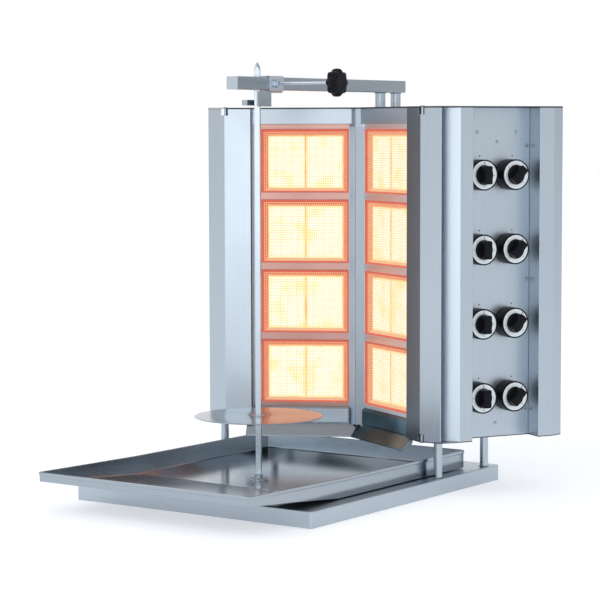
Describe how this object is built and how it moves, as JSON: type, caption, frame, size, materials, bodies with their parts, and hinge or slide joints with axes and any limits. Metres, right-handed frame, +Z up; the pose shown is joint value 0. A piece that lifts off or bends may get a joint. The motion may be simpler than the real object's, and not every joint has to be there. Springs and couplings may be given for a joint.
{
  "type": "gas doner kebab grill",
  "caption": "Upright gas doner grill with a V-shaped pair of radiant burner banks, a turning spit on a sliding drip tray, a clamped top guide and hinged corner wings",
  "frame": {"origin": "centre of the base underside, on the table", "axes": "+X to the right seen from the front, +Y to the back, +Z up; the meat spit and the open side of the burner V face -Y"},
  "size_m": [0.8921, 1.0015, 0.944],
  "materials": {
    "steel": "brushed",
    "tray": "brushed",
    "bright": "satin",
    "mirror": "polished",
    "strip": "matte",
    "black": "satin",
    "hopper": "heat tinted",
    "ceramic": "glowing",
    "wire": "heat tinted",
    "brass": "machined"
  },
  "bodies": {
    "frame": {"base_pan": "steel", "base_bottom": "steel", "slide_strips": "strip", "support_posts": "bright", "arm_tube": "bright", "arm_caps": "bright", "arm_posts": "bright", "cabinet_top": "steel", "cabinet_floor": "steel", "cabinet_back": "steel", "end_panel_left": "steel", "control_panel": "steel", "guard_front": "steel", "guard_rear": "steel", "bank_frame_left": "steel", "bank_frame_right": "steel", "apron_left": "steel", "apron_right": "steel", "wing_pins": "bright", "burner_cases_left": "hopper", "burner_cases_right": "hopper", "tiles_left": "ceramic", "tiles_right": "ceramic", "wire_guard_left": "wire", "wire_guard_right": "wire", "gas_manifold": "brass", "gas_valves": "brass", "gas_pipes": "brass", "panel_screws": "bright"},
    "tray": {"drip_tray": "tray", "spit_seat": "bright", "seat_screws": "bright"},
    "spit": {"spit_rod": "bright", "meat_disc": "mirror", "disc_hub": "bright"},
    "slider": {"arm_sleeve": "bright", "spit_fork": "bright"},
    "clamp_screw": {"clamp_screw": "bright"},
    "clamp_knob": {"clamp_knob": "black"},
    "wing_left": {"wing_left": "steel"},
    "wing_right": {"wing_right": "steel"},
    "stem_a1": {"stem_a1": "bright"},
    "knob_a1": {"knob_a1": "black"},
    "stem_a2": {"stem_a2": "bright"},
    "knob_a2": {"knob_a2": "black"},
    "stem_a3": {"stem_a3": "bright"},
    "knob_a3": {"knob_a3": "black"},
    "stem_a4": {"stem_a4": "bright"},
    "knob_a4": {"knob_a4": "black"},
    "stem_b1": {"stem_b1": "bright"},
    "knob_b1": {"knob_b1": "black"},
    "stem_b2": {"stem_b2": "bright"},
    "knob_b2": {"knob_b2": "black"},
    "stem_b3": {"stem_b3": "bright"},
    "knob_b3": {"knob_b3": "black"},
    "stem_b4": {"stem_b4": "bright"},
    "knob_b4": {"knob_b4": "black"}
  },
  "joints": [
    {"name": "tray_slide", "type": "slide", "parent": "frame", "child": "tray", "axis": [0, 1, 0], "range_m": [0, 0.09]},
    {"name": "spit_turn", "type": "hinge", "parent": "tray", "child": "spit", "pos_m": [0, -0.131, 0.05], "axis": [0, 0, 1], "continuous": true},
    {"name": "guide_slide", "type": "slide", "parent": "frame", "child": "slider", "axis": [0, 1, 0], "range_m": [0, 0.09]},
    {"name": "clamp_travel", "type": "slide", "parent": "slider", "child": "clamp_screw", "axis": [1, 0, 0], "range_m": [0, 0.00252]},
    {"name": "clamp_turn", "type": "hinge", "parent": "clamp_screw", "child": "clamp_knob", "pos_m": [0.165, -0.084, 0.899], "axis": [1, 0, 0], "range_deg": [0, 720]},
    {"name": "wing_right_swing", "type": "hinge", "parent": "frame", "child": "wing_right", "pos_m": [0.2683, 0.10831, 0.48], "axis": [0, 0, 1], "range_deg": [0, 30]},
    {"name": "wing_left_swing", "type": "hinge", "parent": "frame", "child": "wing_left", "pos_m": [-0.2683, 0.10831, 0.48], "axis": [0, 0, -1], "range_deg": [0, 30]},
    {"name": "stem_a1_push", "type": "slide", "parent": "frame", "child": "stem_a1", "axis": [-0.8788, 0.4772, 0], "range_m": [0, 0.003], "stiffness_N_per_m": 400},
    {"name": "knob_a1_turn", "type": "hinge", "parent": "stem_a1", "child": "knob_a1", "pos_m": [0.33501, 0.22741, 0.6995], "axis": [0.8788, -0.4772, 0], "range_deg": [0, 200]},
    {"name": "stem_a2_push", "type": "slide", "parent": "frame", "child": "stem_a2", "axis": [-0.8788, 0.4772, 0], "range_m": [0, 0.003], "stiffness_N_per_m": 400},
    {"name": "knob_a2_turn", "type": "hinge", "parent": "stem_a2", "child": "knob_a2", "pos_m": [0.33501, 0.22741, 0.5355], "axis": [0.8788, -0.4772, 0], "range_deg": [0, 200]},
    {"name": "stem_a3_push", "type": "slide", "parent": "frame", "child": "stem_a3", "axis": [-0.8788, 0.4772, 0], "range_m": [0, 0.003], "stiffness_N_per_m": 400},
    {"name": "knob_a3_turn", "type": "hinge", "parent": "stem_a3", "child": "knob_a3", "pos_m": [0.33501, 0.22741, 0.3715], "axis": [0.8788, -0.4772, 0], "range_deg": [0, 200]},
    {"name": "stem_a4_push", "type": "slide", "parent": "frame", "child": "stem_a4", "axis": [-0.8788, 0.4772, 0], "range_m": [0, 0.003], "stiffness_N_per_m": 400},
    {"name": "knob_a4_turn", "type": "hinge", "parent": "stem_a4", "child": "knob_a4", "pos_m": [0.33501, 0.22741, 0.2075], "axis": [0.8788, -0.4772, 0], "range_deg": [0, 200]},
    {"name": "stem_b1_push", "type": "slide", "parent": "frame", "child": "stem_b1", "axis": [-0.8788, 0.4772, 0], "range_m": [0, 0.003], "stiffness_N_per_m": 400},
    {"name": "knob_b1_turn", "type": "hinge", "parent": "stem_b1", "child": "knob_b1", "pos_m": [0.37376, 0.29877, 0.6995], "axis": [0.8788, -0.4772, 0], "range_deg": [-160, 40]},
    {"name": "stem_b2_push", "type": "slide", "parent": "frame", "child": "stem_b2", "axis": [-0.8788, 0.4772, 0], "range_m": [0, 0.003], "stiffness_N_per_m": 400},
    {"name": "knob_b2_turn", "type": "hinge", "parent": "stem_b2", "child": "knob_b2", "pos_m": [0.37376, 0.29877, 0.5355], "axis": [0.8788, -0.4772, 0], "range_deg": [-160, 40]},
    {"name": "stem_b3_push", "type": "slide", "parent": "frame", "child": "stem_b3", "axis": [-0.8788, 0.4772, 0], "range_m": [0, 0.003], "stiffness_N_per_m": 400},
    {"name": "knob_b3_turn", "type": "hinge", "parent": "stem_b3", "child": "knob_b3", "pos_m": [0.37376, 0.29877, 0.3715], "axis": [0.8788, -0.4772, 0], "range_deg": [-160, 40]},
    {"name": "stem_b4_push", "type": "slide", "parent": "frame", "child": "stem_b4", "axis": [-0.8788, 0.4772, 0], "range_m": [0, 0.003], "stiffness_N_per_m": 400},
    {"name": "knob_b4_turn", "type": "hinge", "parent": "stem_b4", "child": "knob_b4", "pos_m": [0.37376, 0.29877, 0.2075], "axis": [0.8788, -0.4772, 0], "range_deg": [-160, 40]}
  ],
  "couplings": [
    {"joint": "guide_slide", "follows": "tray_slide", "ratio": 1},
    {"joint": "clamp_travel", "follows": "clamp_turn", "m_per_rad": 0.0002}
  ]
}
